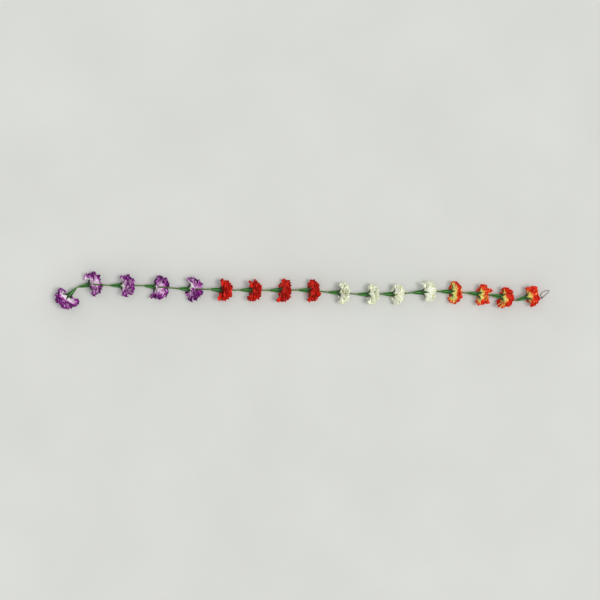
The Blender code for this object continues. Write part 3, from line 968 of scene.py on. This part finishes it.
def loop_corners():
    """The loop's route: out of the last bloom, down on the surface, through the knot,
    once round and back to the knot's side"""
    last = flower_place(FLOWER_COUNT)
    forward = (last.to_3x3() @ Vector((1, 0, 0))).normalized()
    front = last.translation + forward * CORE_FRONT
    low = LOOP_THREAD_RADIUS + 0.25 * MM
    knot_way = Vector((math.cos(KNOT_HEADING), math.sin(KNOT_HEADING), 0))
    side = Vector((-knot_way.y, knot_way.x, 0))
    back = KNOT_PLACE + side * (KNOT_RADIUS + SEAT_GAP)
    corners = [
        front + forward * SEAT_GAP,
        front + forward * 8 * MM,
        front + forward * 17 * MM + Vector((0, -0.001, -0.0025)),
        front + forward * 27 * MM + Vector((0.002, -0.005, -0.009)),
        Vector((0.7300, -0.0205, 0.0090)),
        KNOT_PLACE - knot_way * 4 * MM + Vector((0, 0, 0.0008)),
        KNOT_PLACE - knot_way * 2 * MM,
        KNOT_PLACE + knot_way * 2 * MM,
        KNOT_PLACE + knot_way * 4 * MM,
    ]
    corners += [Vector((x * MM, y * MM, low)) for x, y in LOOP_ON_SURFACE]
    return [*corners, back + side * 2.5 * MM, back]


def swept_mesh(points, radius, resolution, closed=False):
    """A round tube through the points, as a mesh object, from a bevelled curve"""
    curve = bpy.data.curves.new("sweep", "CURVE")
    curve.dimensions = "3D"
    curve.bevel_depth = radius
    curve.bevel_resolution = resolution
    curve.use_fill_caps = not closed
    spline = curve.splines.new("POLY")
    spline.points.add(len(points) - 1)
    for place, point in zip(spline.points, points):
        place.co = (*point, 1)
    spline.use_cyclic_u = closed
    thing = bpy.data.objects.new("sweep", curve)
    bpy.context.collection.objects.link(thing)
    activate(thing)
    bpy.ops.object.convert(target="MESH")
    thing = bpy.context.object
    bpy.ops.object.mode_set(mode="EDIT")
    bpy.ops.mesh.select_all(action="SELECT")
    bpy.ops.mesh.remove_doubles(threshold=0.002 * MM)
    bpy.ops.mesh.normals_make_consistent(inside=False)
    bpy.ops.object.mode_set(mode="OBJECT")
    return thing


class HANGING_OT_loop(bpy.types.Operator):
    """Makes the thread loop that the string hangs by, of two twisted plies, and its knot"""

    bl_idname = "hanging.loop"
    bl_label = "Hanging loop"

    def execute(self, context):
        settings = context.scene.hanging_loop
        route = smooth_route(loop_corners(), ROUTE_PIECES)
        lengths = [(b - a).length for a, b in zip(route, route[1:])]
        thread = spun_thread("loop thread", settings.brown)
        plies = [
            swept_mesh(self.ply(route, lengths, settings.turn, phase), PLY_RADIUS, 2)
            for phase in (0, math.pi)
        ]
        activate(*plies)
        bpy.ops.object.join()
        loop = bpy.context.object
        finish_piece(loop, "twisted_loop", thread)
        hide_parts("hanging_loop")
        knot = self.knot()
        finish_piece(knot, "tied_knot", thread)
        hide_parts("loop_knot")
        return {"FINISHED"}

    def ply(self, route, lengths, turn, phase):
        """One ply: a helix round the route"""
        points = []
        travelled = 0.0
        per_piece = 4
        for index, length in enumerate(lengths):
            start, end = route[index], route[index + 1]
            way = (end - start).normalized()
            side = way.cross(Vector((0, 0, 1)))
            side = side.normalized() if side.length > 0.01 else Vector((0, 1, 0))
            over = side.cross(way)
            for step in range(per_piece):
                share = step / per_piece
                angle = phase + math.tau * (travelled + length * share) / turn
                off = (side * math.cos(angle) + over * math.sin(angle)) * PLY_OFFSET
                points.append(start.lerp(end, share) + off)
            travelled += length
        return points

    def knot(self):
        """An overhand knot: the thread drawn through its own loop and pulled tight"""
        points = []
        for step in range(KNOT_POINTS):
            t = math.tau * step / KNOT_POINTS
            points.append(Vector((
                (math.sin(t) + 2 * math.sin(2 * t)) * KNOT_ACROSS,
                (math.cos(t) - 2 * math.cos(2 * t)) * KNOT_ACROSS,
                -math.sin(3 * t) * KNOT_DEPTH,
            )))
        knot = swept_mesh(points, STRAND_RADIUS, 3, closed=True)
        knot.data.transform(Matrix.Rotation(math.pi / 2, 4, "Y"))
        place = Matrix.Translation(KNOT_PLACE) @ Matrix.Rotation(KNOT_HEADING, 4, "Z")
        knot.data.transform(place)
        return knot


class HANGING_OT_camera(bpy.types.Operator):
    """Puts the camera straight above the string"""

    bl_idname = "hanging.camera"
    bl_label = "Camera"

    def execute(self, context):
        bpy.ops.object.camera_add(
            location=(*CAMERA_FOOT, AXIS_HEIGHT + CAMERA_RISE), rotation=(0, 0, 0))
        camera = context.object
        camera.name = "camera"
        camera.data.sensor_width = SENSOR_WIDTH
        camera.data.lens = SENSOR_WIDTH * CAMERA_RISE / FRAME_WIDTH
        camera.data.clip_start = 0.01
        context.scene.camera = camera
        return {"FINISHED"}


class HANGING_OT_stage(bpy.types.Operator):
    """Lays the pale floor and sets soft studio light from the right"""

    bl_idname = "hanging.stage"
    bl_label = "Stage"

    def execute(self, context):
        settings = context.scene.hanging_stage
        bpy.ops.object.select_all(action="DESELECT")
        bpy.ops.mesh.primitive_plane_add(size=FLOOR_SIZE, location=(0, 0, 0))
        floor = context.object
        floor.name = "studio_floor"
        floor.data.materials.append(studio_paper("backdrop paper", settings.paper))
        bpy.ops.object.light_add(
            type="SUN", rotation=KEY_LIGHT_FROM.to_track_quat("Z", "Y").to_euler())
        key = context.object
        key.name = "key_light"
        key.data.energy = settings.sun
        key.data.angle = KEY_LIGHT_WIDTH
        key.data.color = KEY_LIGHT_TINT
        world = bpy.data.worlds.new("studio")
        context.scene.world = world
        world.use_nodes = True
        sky = world.node_tree.nodes["Background"]
        sky.inputs["Color"].default_value = SKY_TINT
        sky.inputs["Strength"].default_value = settings.sky
        context.scene.view_settings.view_transform = "Standard"
        return {"FINISHED"}


class HANGING_PT_panel(bpy.types.Panel):
    """The hanging's pieces, each with its own button"""

    bl_idname = "HANGING_PT_panel"
    bl_label = "Flower door hanging"
    bl_space_type = "VIEW_3D"
    bl_region_type = "UI"
    bl_category = "Flowers"

    def draw(self, context):
        layout = self.layout
        for group in SETTINGS:
            settings = getattr(context.scene, group)
            box = layout.box()
            for name in settings.__annotations__:
                box.prop(settings, name)
        for operator in OPERATORS:
            layout.operator(operator.bl_idname)


SETTINGS = {
    "hanging_blooms": BloomSettings,
    "hanging_calyces": CalyxSettings,
    "hanging_tubes": TubeSettings,
    "hanging_loop": LoopSettings,
    "hanging_stage": StageSettings,
}
OPERATORS = (
    HANGING_OT_camera,
    HANGING_OT_loop,
    HANGING_OT_blooms,
    HANGING_OT_calyces,
    HANGING_OT_sleeves,
    HANGING_OT_stage,
)
CLASSES = (*SETTINGS.values(), *OPERATORS, HANGING_PT_panel)


def register():
    for made in CLASSES:
        bpy.utils.register_class(made)
    for name, group in SETTINGS.items():
        setattr(bpy.types.Scene, name, PointerProperty(type=group))


def unregister():
    for name in SETTINGS:
        delattr(bpy.types.Scene, name)
    for made in reversed(CLASSES):
        bpy.utils.unregister_class(made)


def main():
    register()
    bpy.ops.hanging.camera()
    bpy.ops.hanging.loop()
    bpy.ops.hanging.blooms()
    bpy.ops.hanging.calyces()
    bpy.ops.hanging.sleeves()
    bpy.ops.hanging.stage()
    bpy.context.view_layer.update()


if __name__ == "__main__":
    main()
